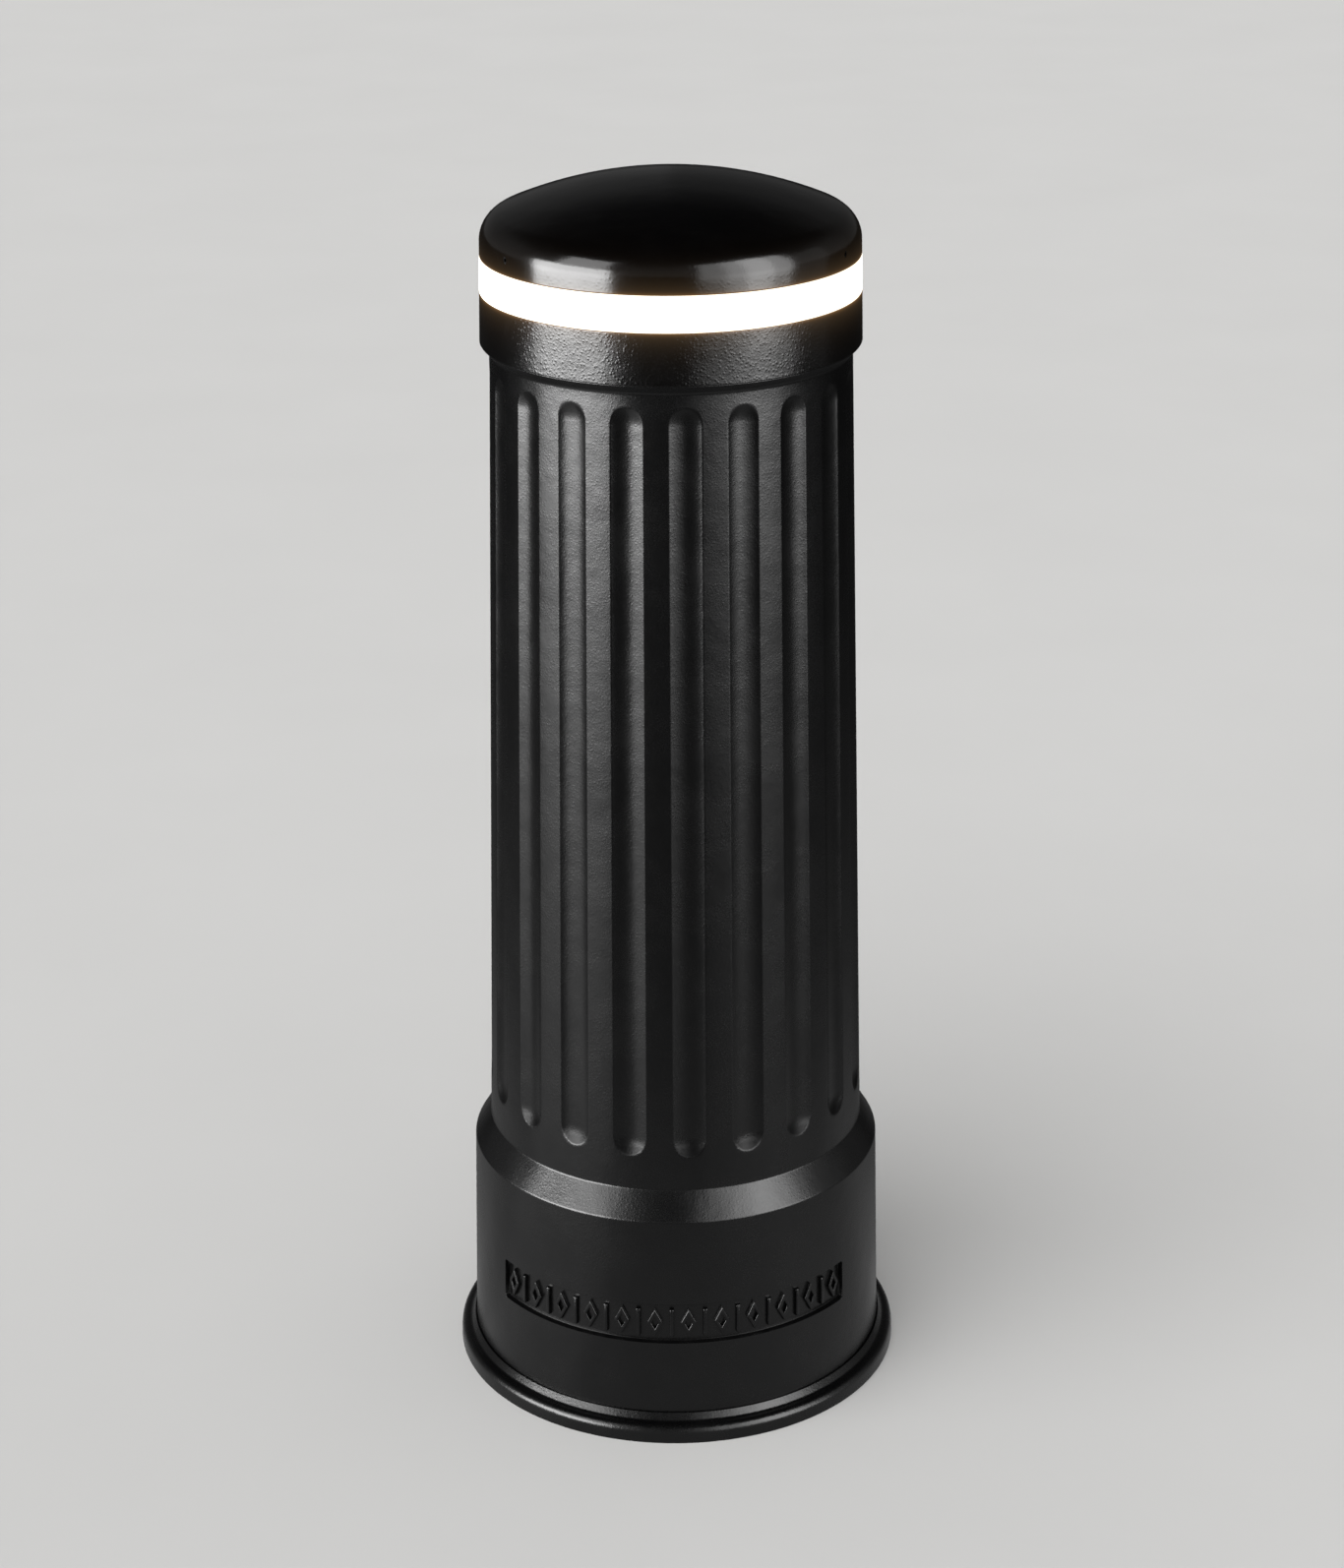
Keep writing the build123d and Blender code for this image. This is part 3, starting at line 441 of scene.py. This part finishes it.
def casting():
    outline = rounded([
        (BASE_R, CAST_BOT_Z), (BASE_R, SH0 - 2.0), (BASE_R, SH0, 3.2), (COL_BOT_R, SH1, 2.8), (COL_BOT_R - 0.01, SH1 + 2.0), (COL_TOP_R + 0.02, COLLAR_Z - 7.4, 4.4),
        (FLARE_R, COLLAR_Z - 0.6, 0.25), (FLARE_R, COLLAR_Z)], 8)
    rows = []
    for (r0, z0), (r1, z1) in zip(outline, outline[1:]):
        rows.append((r0, z0))
        cuts = []
        fine = [(PANEL_Z0 - 1.6, PANEL_Z0 + 1.6, 0.3), (PANEL_Z1 - 1.6, PANEL_Z1 + 1.6, 0.3), (FLUTE_Z0 - 1.5, FLUTE_Z0 + 16, 1.0), (FLUTE_Z1 - 16, FLUTE_Z1 + 1.5, 1.0)]
        z = z0
        while z < z1:
            step = 18.0
            for a, b, s in fine:
                if a <= z < b:
                    step = s
                elif z < a < z + step:
                    step = a - z
            z += step
            if z < z1 - 0.25:
                cuts.append(z)
        rows += [(r0 + (r1 - r0) * (c - z0) / (z1 - z0), c) for c in cuts]
    rows.append(outline[-1])
    rows = np.array(rows)
    half = [0, .8, 1.6, 2.4, 3.2, 3.9, 4.35, 4.62, 4.77, 4.9, 5.0, 5.1, 5.22, 5.4, 6.0, 7.4, 9.0]
    period = [-h for h in reversed(half[1:-1])] + half      # one flute, centre at zero
    theta = {round(FLUTE_FIRST + 18 * k + h, 3) for k in range(-10, FLUTES - 10) for h in period}
    theta |= {round(PANEL_MID + side * (PANEL_HALF + h), 3) for side in (-1, 1) for h in (-0.5, -0.3, -0.2, -0.1, 0, 0.1, 0.2, 0.4)}
    theta = np.array(sorted(theta))
    n = len(theta)
    dphi = np.radians((theta - FLUTE_FIRST + 9) % 18 - 9)
    depth_in = math.sqrt(FLUTE_R ** 2 - (FLUTE_R - FLUTE_DEPTH) ** 2)
    z_lo, z_hi = FLUTE_Z0 + depth_in, FLUTE_Z1 - depth_in
    slope = (COL_BOT_R - COL_TOP_R) / (COLLAR_Z - SH1)
    verts, cav = [], []
    wrapped = (theta + 180) % 360 - 180
    for r_s, z in rows:
        zc = min(max(z, z_lo), z_hi)
        rc = COL_BOT_R - slope * (zc - SH1) + FLUTE_R - FLUTE_DEPTH
        v = z - zc
        disc = FLUTE_R ** 2 - v * v - (rc * np.sin(dphi)) ** 2
        r_f = np.where(disc > 0, rc * np.cos(dphi) - np.sqrt(np.maximum(disc, 0)), r_s + 50)
        # outside the cutter the blend runs on the distance to it, so that the lip rounds evenly
        gap = np.where(disc > 0, r_f - r_s, 50.0)
        k = 0.35
        h = np.clip(0.5 + 0.5 * (r_s - r_f) / k, 0, 1)
        r = np.where(np.abs(gap) < 40, r_s * (1 - h) + r_f * h - k * h * (1 - h), r_s)
        r = np.minimum(r, r_s)
        if z > SH1 + 4 and z < COLLAR_Z - 8:
            pass
        else:
            r = np.full(n, r_s)
        if PANEL_Z0 - 2 < z < PANEL_Z1 + 2:
            # a rounded slot: distance inside its outline, with 2 mm corners
            arc = (PANEL_HALF - np.abs(wrapped - PANEL_MID)) * math.radians(1) * r_s
            up = min(z - PANEL_Z0, PANEL_Z1 - z)
            qx, qy = 2.0 - arc, 2.0 - up
            inside = 2.0 - np.where((qx > 0) & (qy > 0), np.hypot(np.maximum(qx, 0), max(qy, 0)), np.maximum(qx, qy))
            m = np.clip(inside / 0.6 + 0.5, 0, 1)
            m = m * m * (3 - 2 * m)
            r = r_s - (r_s - PANEL_FLOOR) * m
        cav += list(np.clip((r_s - r) / FLUTE_DEPTH, 0, 1))
        t = np.radians(theta)
        verts += list(zip(r * np.sin(t) * MM, -r * np.cos(t) * MM, np.full(n, z) * MM))
    faces = []
    count = len(rows)
    for i in range(count - 1):
        for k in range(n):
            k2 = (k + 1) % n
            faces.append((i * n + k, i * n + k2, (i + 1) * n + k2, (i + 1) * n + k))
    # bore: top face, inner wall, bottom face
    inner = [(128.0, COLLAR_Z), (128.0, 480.0), (128.0, 200.0), (150.6, 150.0), (150.6, 60.0), (150.6, CAST_BOT_Z)]
    t = np.radians(theta)
    for r, z in inner:
        verts += list(zip(r * np.sin(t) * MM, -r * np.cos(t) * MM, np.full(n, z) * MM))
        cav += [0.0] * n
    order = [count - 1] + list(range(count, count + len(inner))) + [0]
    for a, b in zip(order, order[1:]):
        for k in range(n):
            k2 = (k + 1) % n
            faces.append((a * n + k, a * n + k2, b * n + k2, b * n + k))
    # raised marks in the panel: a plain row of open lozenges and bars
    mid, marks = (PANEL_Z0 + PANEL_Z1) / 2, 23
    for j in range(marks):
        th = PANEL_MID + (j - (marks - 1) / 2) * 2 * (PANEL_HALF - 3.6) / (marks - 1)
        sx, sy = (1.5, 10.0) if j % 2 else (6.0, 10.0)
        shape = [(-sx, -sy), (sx, -sy), (sx, sy), (-sx, sy)] if j % 2 else [(-sx, 0), (0, -sy), (sx, 0), (0, sy)]
        steps = [(-0.30, PANEL_FLOOR - 0.6), (-0.12, PANEL_FLOOR + 0.25), (0.05, PANEL_FACE - 0.5), (0.16, PANEL_FACE - 0.16), (0.42, PANEL_FACE)]
        loops = [(sx, sy, inset, r) for inset, r in steps]
        if j % 2 == 0:
            loops += [(2.8, 4.7, -inset, r) for inset, r in reversed(steps)]
        rings = []
        for hx, hy, inset, r in loops:
            kx, ky = (hx - inset) / sx, (hy - inset) / sy
            if j % 2 == 0:
                kx, ky = (hx - inset * 1.17) / sx, (hy - inset * 1.95) / sy
            ring = []
            for (x0, y0), (x1, y1) in zip(shape, shape[1:] + shape[:1]):
                c = max(2, int(math.hypot(x1 - x0, y1 - y0) / 1.5))
                for q in range(c):
                    a = math.radians(th) + (x0 + (x1 - x0) * q / c) * kx / r
                    ring.append(len(verts))
                    verts.append((r * math.sin(a) * MM, -r * math.cos(a) * MM, (mid + (y0 + (y1 - y0) * q / c) * ky) * MM))
                    cav.append(0.0)
            rings.append(ring)
        pairs = list(zip(rings, rings[1:]))
        if j % 2 == 0:
            pairs.append((rings[-1], rings[0]))
        for ra, rb in pairs:
            for q in range(len(ra)):
                q2 = (q + 1) % len(ra)
                faces.append((ra[q], ra[q2], rb[q2], rb[q]))
        if j % 2:
            faces.append(tuple(rings[-1]))
            faces.append(tuple(reversed(rings[0])))
    mesh = bpy.data.meshes.new("fluted_casting")
    mesh.from_pydata(verts, [], faces)
    a = mesh.attributes.new("cavity", "FLOAT", "POINT")
    a.data.foreach_set("value", np.array(cav, np.float32))
    for p in mesh.polygons:
        p.use_smooth = True
    mesh.set_sharp_from_angle(angle=math.radians(50))
    bm = bmesh.new()
    bm.from_mesh(mesh)
    bmesh.ops.recalc_face_normals(bm, faces=bm.faces)
    bm.to_mesh(mesh)
    bm.free()
    obj = bpy.data.objects.new("fluted_casting", mesh)
    scene.collection.objects.link(obj)
    mesh.materials.append(MATS["cast_black"])
    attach(obj, "post")
    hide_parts("column_casting")
    return obj


casting()

# ------------------------------------------------------------------ collar, light ring, cap
WEB = COLLAR_Z + 12
turned("collar_ring", sampled(rounded([
    (HEAD_R, LENS_Z, 0.7), (HEAD_R, LENS_Z - 1.2), (HEAD_R, COLLAR_Z + 1.3), (HEAD_R, COLLAR_Z, 0.8), (146.4, COLLAR_Z, 0.4), (146.4, WEB), (75, WEB), (75, WEB + 8),
    (146.4, WEB + 8), (146.4, LENS_Z), (148.4, LENS_Z), (148.4, LENS_Z - 1.5), (150.4, LENS_Z - 1.5), (150.4, LENS_Z)], 8), 9),
    "head_black", "post", ["collar"], sharp=40)
turned("light_ring", sampled(rounded([
    (147.4, LENS_Z), (HEAD_R, LENS_Z, 0.45), (HEAD_R, CAP_Z, 0.45), (147.4, CAP_Z)], 4), 4),
    "opal_lens", "post", ["lens_ring"], sharp=50)

CAP_CORNER, CAP_CROWN, CAP_WALL, SIDE = 25.0, 350.0, 5.4, 865.0


def cap_curve(r_side, r_corner, r_crown, apex, n1, n2):
    cx = r_side - r_corner
    k = math.sqrt((r_crown - r_corner) ** 2 - cx ** 2)
    zc = apex - r_crown
    z_side = zc + k
    a = math.atan2(cx, k)
    pts = [(r_side, z_side)]
    pts += [(cx + r_corner * math.sin(t), z_side + r_corner * math.cos(t)) for t in np.linspace(math.pi / 2, a, n1)[1:]]
    pts += [(r_crown * math.sin(t), zc + r_crown * math.cos(t)) for t in np.linspace(a, 0, n2)[1:]]
    pts[-1] = (0.0, apex)
    return pts


outer = cap_curve(HEAD_R, CAP_CORNER, CAP_CROWN, APEX_Z, 18, 22)
inner = cap_curve(HEAD_R - CAP_WALL, CAP_CORNER - CAP_WALL, CAP_CROWN - CAP_WALL, APEX_Z - CAP_WALL, 8, 10)
foot = rounded([(HEAD_R - 3, CAP_Z), (HEAD_R, CAP_Z, 0.7), (HEAD_R, CAP_Z + 5)], 5)[1:-1]
outline = [(150.4, CAP_Z)] + foot + [(HEAD_R, z) for z in (CAP_Z + 1.1, CAP_Z + 4, CAP_Z + 8)] + outer + list(reversed(inner))
outline += [(147.0, CAP_Z), (148.4, CAP_Z), (148.4, CAP_Z + 1.5), (150.4, CAP_Z + 1.5)]
dome = turned("domed_cap", outline, "cap_black", "post", ["cap"], seg=256, sharp=40)

for theta in (-57.5, 63.5, 183.0):
    bpy.ops.mesh.primitive_cylinder_add(vertices=32, radius=3.0 * MM, depth=24 * MM)
    cutter = bpy.context.object
    cutter.matrix_world = Matrix.Translation(spot(theta, 152, 865)) @ spot(theta, 1, 0).normalized().to_track_quat("Z", "Y").to_matrix().to_4x4()
    mod = dome.modifiers.new("hole", "BOOLEAN")
    mod.operation, mod.solver, mod.object = "DIFFERENCE", "EXACT", cutter
    bpy.context.view_layer.objects.active = dome
    dome.select_set(True)
    bpy.ops.object.modifier_apply(modifier="hole")
    bpy.data.objects.remove(cutter)
for p in dome.data.polygons:
    p.use_smooth = True
dome.data.set_sharp_from_angle(angle=math.radians(40))

# ------------------------------------------------------------------ ground ring
ring = turned("ground_collar", sampled(rounded([
    (159.6, -50), (169.7, -50), (169.7, -32), (202, -32, 0.8), (202, -20, 1.5), (170.2, -20, 3), (170.2, 12.2, 5.6),
    (163.1, 12.2, 2.6), (159.9, RING_LIP_Z, 0.12), (159.1, RING_LIP_Z, 0.1), (159.1, RING_LIP_Z - 1.4), (159.6, RING_LIP_Z - 1.9), (159.6, -2), (164.5, -2), (164.5, -10), (159.6, -10)], 9), 8),
    "cast_black", "receiver", ["ground_ring"], sharp=45)
for k in range(8):
    bpy.ops.mesh.primitive_cylinder_add(vertices=32, radius=6.5 * MM, depth=60 * MM)
    cutter = bpy.context.object
    cutter.matrix_world = Matrix.Translation(spot(22.5 + 45 * k, 188, -40))
    mod = ring.modifiers.new("hole", "BOOLEAN")
    mod.operation, mod.solver, mod.object = "DIFFERENCE", "EXACT", cutter
    bpy.context.view_layer.objects.active = ring
    bpy.ops.object.modifier_apply(modifier="hole")
    bpy.data.objects.remove(cutter)
for p in ring.data.polygons:
    p.use_smooth = True
ring.data.set_sharp_from_angle(angle=math.radians(45))

# ------------------------------------------------------------------ coiled cable
TURNS, COIL_R, Z0, Z1 = 24, 84.0, -1078.0, 20.0
path = []
for i in range(TURNS * 28 + 1):
    t = i / 28 / TURNS
    a = 2 * math.pi * TURNS * t
    path.append((COIL_R * math.cos(a) * MM, COIL_R * math.sin(a) * MM, (Z0 + (Z1 - Z0) * t) * MM))
coil = tube_along("coiled_lead", path, 3.2 * MM, "cable_black", "receiver", ["coil_cable"], ring=10)
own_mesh(coil)

# ------------------------------------------------------------------ carried-over CAD nodes
slots = {s["node"]: s["material_slot"] for s in RECORD["subparts"]}
for name, obj in NODES.items():
    obj.data.materials.clear()
    obj.data.materials.append(MATS[slots[name]])

# ------------------------------------------------------------------ camera
CAM_X, CAM_Y, CAM_Z = 0.0, -2.782, 1.473
cam_data = bpy.data.cameras.new("photo_camera")
cam = bpy.data.objects.new("photo_camera", cam_data)
scene.collection.objects.link(cam)
cam_data.lens = 3552.0 * 36.0 / 1594.0
cam_data.sensor_width = 36.0
cam.matrix_world = (Matrix.Translation((CAM_X, CAM_Y, CAM_Z)) @ Matrix.Rotation(math.radians(-0.10), 4, "Z")
                    @ Matrix.Rotation(math.radians(90.0), 4, "X") @ Matrix.Rotation(math.radians(-0.34), 4, "Z"))
cam_data.clip_start, cam_data.clip_end = 0.05, 200
scene.camera = cam
SHIFT_Y = -(797.0 + 536.0) / 1594.0


def at_camera(block, prop, here, elsewhere, index=-1):
    """prop takes one value while the camera stands at the photo's position, and another anywhere else."""
    curve = block.driver_add(prop, index) if index >= 0 else block.driver_add(prop)
    d = curve.driver
    d.type = "SCRIPTED"
    for n, axis in (("x", "LOC_X"), ("y", "LOC_Y"), ("z", "LOC_Z")):
        v = d.variables.new()
        v.name, v.type = n, "TRANSFORMS"
        v.targets[0].id = cam
        v.targets[0].transform_type = axis
        v.targets[0].transform_space = "WORLD_SPACE"
    d.expression = f"{here} if fabs(x-({CAM_X}))+fabs(y-({CAM_Y}))+fabs(z-({CAM_Z}))<0.002 else {elsewhere}"


at_camera(cam_data, "shift_y", round(SHIFT_Y, 6), 0.0)


# ------------------------------------------------------------------ floor, world, lights
def ramp(tree, value, stops, top):
    """A grey level that follows value/top through (position, level) stops."""
    div = tree.nodes.new("ShaderNodeMath")
    div.operation = "DIVIDE"
    tree.links.new(value, div.inputs[0])
    div.inputs[1].default_value = top
    n = tree.nodes.new("ShaderNodeValToRGB")
    e = n.color_ramp.elements
    while len(e) > 1:
        e.remove(e[-1])
    e[0].position, e[0].color = stops[0][0] / top, (stops[0][1],) * 3 + (1,)
    for pos, level in stops[1:]:
        k = e.new(pos / top)
        k.color = (level,) * 3 + (1,)
    tree.links.new(div.outputs[0], n.inputs[0])
    return n.outputs[0]


def here_value(tree):
    """1 while the camera stands at the photo's position, 0 for any other view."""
    v = tree.nodes.new("ShaderNodeValue")
    v.name = "at_photo_spot"
    at_camera(v.outputs[0], "default_value", 1.0, 0.0)
    return v.outputs[0]


def floor():
    """Paving level with a hole that the ground ring fills; it drops to the foundation for the other views.
    What the bollard mirrors of it is painted light: emission that falls off with distance and pools toward the
    softboxes, a stand-in for a studio floor lit only round the object."""
    verts, faces = [], []
    seg = 128
    radii = [0.1699, 0.24, 0.5, 1.2, 4.0, 14.0, 60.0]
    for r in radii:
        for k in range(seg):
            a = 2 * math.pi * k / seg
            verts.append((r * math.cos(a), r * math.sin(a), 0.0))
    for i in range(len(radii) - 1):
        for k in range(seg):
            k2 = (k + 1) % seg
            faces.append((i * seg + k, (i + 1) * seg + k, (i + 1) * seg + k2, i * seg + k2))
    mesh = bpy.data.meshes.new("floor")
    mesh.from_pydata(verts, [], faces)
    obj = bpy.data.objects.new("floor", mesh)
    scene.collection.objects.link(obj)
    g = Graph("floor")
    pale = g.mix(g.noise(3.0, 4, 0.55), (0.50, 0.497, 0.49), (0.53, 0.527, 0.52))
    length = g.node("ShaderNodeVectorMath", operation="LENGTH")
    g.link(g.coord, length.inputs[0])
    r = length.outputs["Value"]
    # painted light: the floor's glow in reflections, brightest near the base and falling off outward
    painted_falloff = ramp(g.t, r, [(0.0, 0.28), (0.37, 0.28), (0.6, 0.22), (0.82, 0.14), (1.3, 0.08), (1.95, 0.05), (2.8, 0.03), (4.0, 0.025)], 4.0)
    # painted pools of light on the floor toward the softboxes, rising with distance
    painted_pool = ramp(g.t, r, [(0.0, 0.01), (0.37, 0.05), (0.6, 0.11), (0.82, 0.185), (1.18, 0.25), (1.45, 0.285), (1.56, 0.44), (1.65, 0.56), (1.95, 0.66), (2.8, 0.95), (3.3, 1.0)], 4.0)
    sep = g.node("ShaderNodeSeparateXYZ")
    g.link(g.coord, sep.inputs[0])
    az = g.node("ShaderNodeMath", operation="ARCTAN2")
    g.link(sep.outputs["X"], az.inputs[0])
    g.link(g.math("MULTIPLY", sep.outputs["Y"], -1.0), az.inputs[1])
    deg = math.radians
    # azimuth masks placing the painted light pools before the left and right softboxes
    left = g.math("MULTIPLY", g.span(az.outputs[0], deg(-90), deg(-82), 0.0, 1.0), g.span(az.outputs[0], deg(-40), deg(-32), 1.0, 0.0))
    right = g.math("MULTIPLY", g.span(az.outputs[0], deg(14), deg(52), 0.0, 1.0), g.span(az.outputs[0], deg(54), deg(82), 1.0, 0.0))
    glow = g.math("MULTIPLY", g.math("ADD", g.math("MULTIPLY", left, 2.3), g.math("MULTIPLY", right, 1.0)), painted_pool)
    # painted shade: the mirrored floor darker behind the object, more on its right
    painted_falloff = g.math("MULTIPLY", painted_falloff, g.math("SUBTRACT", g.span(az.outputs[0], deg(-140), deg(-110), 0.55, 1.0), g.span(az.outputs[0], deg(105), deg(135), 0.0, 0.62)))
    lp = g.node("ShaderNodeLightPath")
    spot_on = here_value(g.t)
    unseen = g.math("SUBTRACT", 1.0, lp.outputs["Is Camera Ray"])
    # only reflections at the photo's spot see this painted emission; there the floor's own colour is black
    g.link(g.math("MULTIPLY", g.math("ADD", glow, painted_falloff), g.math("MULTIPLY", unseen, spot_on)), g.b.inputs["Emission Strength"])
    g.b.inputs["Emission Color"].default_value = (1, 1, 1, 1)
    # for the other views the floor that reflections see carries four painted strips of light, which draw out the flutes
    # from every side
    painted_strips = g.math("POWER", g.math("ADD", 0.5, g.math("MULTIPLY", g.math("COSINE", g.math("MULTIPLY", az.outputs[0], 4.0)), 0.5)), 2.0)
    painted_strip_colour = g.mix(painted_strips, (0.07, 0.07, 0.07), (0.62, 0.62, 0.62))
    col = g.mix(lp.outputs["Is Camera Ray"], g.mix(spot_on, painted_strip_colour, (0.0, 0.0, 0.0)), pale)
    m = g.set(color=col, rough=0.8, normal=g.bump(g.noise(240, 3, 0.6), 0.12, 0.0005), spec=0.0)
    mesh.materials.append(m)
    at_camera(obj, "location", 0.0, -1.3203, 2)
    return obj


floor()

world = bpy.data.worlds.new("world")
scene.world = world
world.use_nodes = True
wt = world.node_tree
wt.nodes.clear()
wout = wt.nodes.new("ShaderNodeOutputWorld")
bg = wt.nodes.new("ShaderNodeBackground")
wt.links.new(bg.outputs[0], wout.inputs["Surface"])
direction = wt.nodes.new("ShaderNodeTexCoord")
split = wt.nodes.new("ShaderNodeSeparateXYZ")
wt.links.new(direction.outputs["Generated"], split.inputs[0])
upward = ramp(wt, split.outputs["Z"], [(0.0, 0.18), (0.42, 0.13), (0.62, 0.032), (0.82, 0.004), (1.0, 0.003)], 1.0)
room = ramp(wt, split.outputs["Z"], [(0.0, 0.30), (0.5, 0.42), (1.0, 0.55)], 1.0)


def mix_in(tree, fac, a, b):
    n = tree.nodes.new("ShaderNodeMix")
    n.data_type = "RGBA"
    for k, v in ((0, fac), (6, a), (7, b)):
        if hasattr(v, "is_linked"):
            tree.links.new(v, n.inputs[k])
        else:
            n.inputs[k].default_value = v
    return n.outputs[2]


def behind(tree, x, y):
    """Dims what stands behind the object, more on its right, so that both silhouettes fall off."""
    def node(op, a, b=None):
        n = tree.nodes.new("ShaderNodeMath")
        n.operation = op
        for k, v in enumerate((a, b)):
            if hasattr(v, "is_linked"):
                tree.links.new(v, n.inputs[k])
            elif v is not None:
                n.inputs[k].default_value = v
        return n.outputs[0]

    def span(v, a, b, lo, hi):
        n = tree.nodes.new("ShaderNodeMapRange")
        tree.links.new(v, n.inputs[0])
        for k, w in enumerate((a, b, lo, hi), 1):
            n.inputs[k].default_value = w
        return n.outputs[0]
    az = node("ARCTAN2", x, node("MULTIPLY", y, -1.0))
    left = span(az, math.radians(-140), math.radians(-110), 0.55, 1.0)
    right = span(az, math.radians(105), math.radians(135), 0.0, 0.62)
    return node("SUBTRACT", left, right)


scaled = wt.nodes.new("ShaderNodeVectorMath")
scaled.operation = "SCALE"
wt.links.new(upward, scaled.inputs[0])
wt.links.new(behind(wt, split.outputs["X"], split.outputs["Y"]), scaled.inputs["Scale"])
upward = scaled.outputs[0]

lp = wt.nodes.new("ShaderNodeLightPath")
around = mix_in(wt, here_value(wt), room, upward)
backdrop = mix_in(wt, here_value(wt), (0.85, 0.847, 0.84, 1), (0.62, 0.617, 0.61, 1))
wt.links.new(mix_in(wt, lp.outputs["Is Camera Ray"], around, backdrop), bg.inputs["Color"])
bg.inputs["Strength"].default_value = 1.0


def softbox(name, azimuth, spread, distance, low, high, level):
    """An upright panel that only reflections see. Azimuth 0 is the photo's side (-Y), positive to the right;
    spread is the half angle it covers from the axis and level its radiance."""
    a = math.radians(azimuth)
    light = bpy.data.lights.new(name, "AREA")
    w, h = 2 * distance * math.tan(math.radians(spread)), high - low
    light.shape, light.size, light.size_y = "RECTANGLE", w, h
    light.energy = math.pi * w * h * level
    obj = bpy.data.objects.new(name, light)
    obj.location = (distance * math.sin(a), -distance * math.cos(a), (low + high) / 2)
    obj.rotation_mode = "QUATERNION"
    obj.rotation_quaternion = Vector((-math.sin(a), math.cos(a), 0)).to_track_quat("-Z", "Y")
    obj.visible_diffuse = False
    obj.visible_camera = False
    scene.collection.objects.link(obj)
    return obj


def sky(name, azimuth, elevation, angle, strength):
    """Broad soft light for the floor and for whatever scatters; mirrors don't see it."""
    light = bpy.data.lights.new(name, "SUN")
    light.angle, light.energy = math.radians(angle), strength
    obj = bpy.data.objects.new(name, light)
    a, e = math.radians(azimuth), math.radians(elevation)
    obj.rotation_mode = "QUATERNION"
    obj.rotation_quaternion = Vector((-math.sin(a) * math.cos(e), math.cos(a) * math.cos(e), -math.sin(e))).to_track_quat("-Z", "Y")
    obj.visible_glossy = False
    scene.collection.objects.link(obj)
    return obj


softbox("key_left", -61, 25, 3.3, 0.0, 1.7, 14.0)
softbox("key_left_top", -54, 16, 3.3, 1.7, 3.7, 4.2)
softbox("fill_right", 46, 30, 3.5, 0.0, 3.7, 2.0)
softbox("fill_right_core", 53, 21, 3.4, 0.0, 3.7, 2.0)
softbox("fill_right_heart", 53, 9, 3.3, 0.0, 3.7, 2.6)
softbox("fill_right_tail", 90, 14, 3.3, 0.0, 2.5, 0.15)
sky("sky_left", -40, 58, 50, 2.1)
sky("sky_top", 0, 86, 110, 2.0)

scene.view_settings.view_transform = "Standard"
scene.view_settings.look = "None"
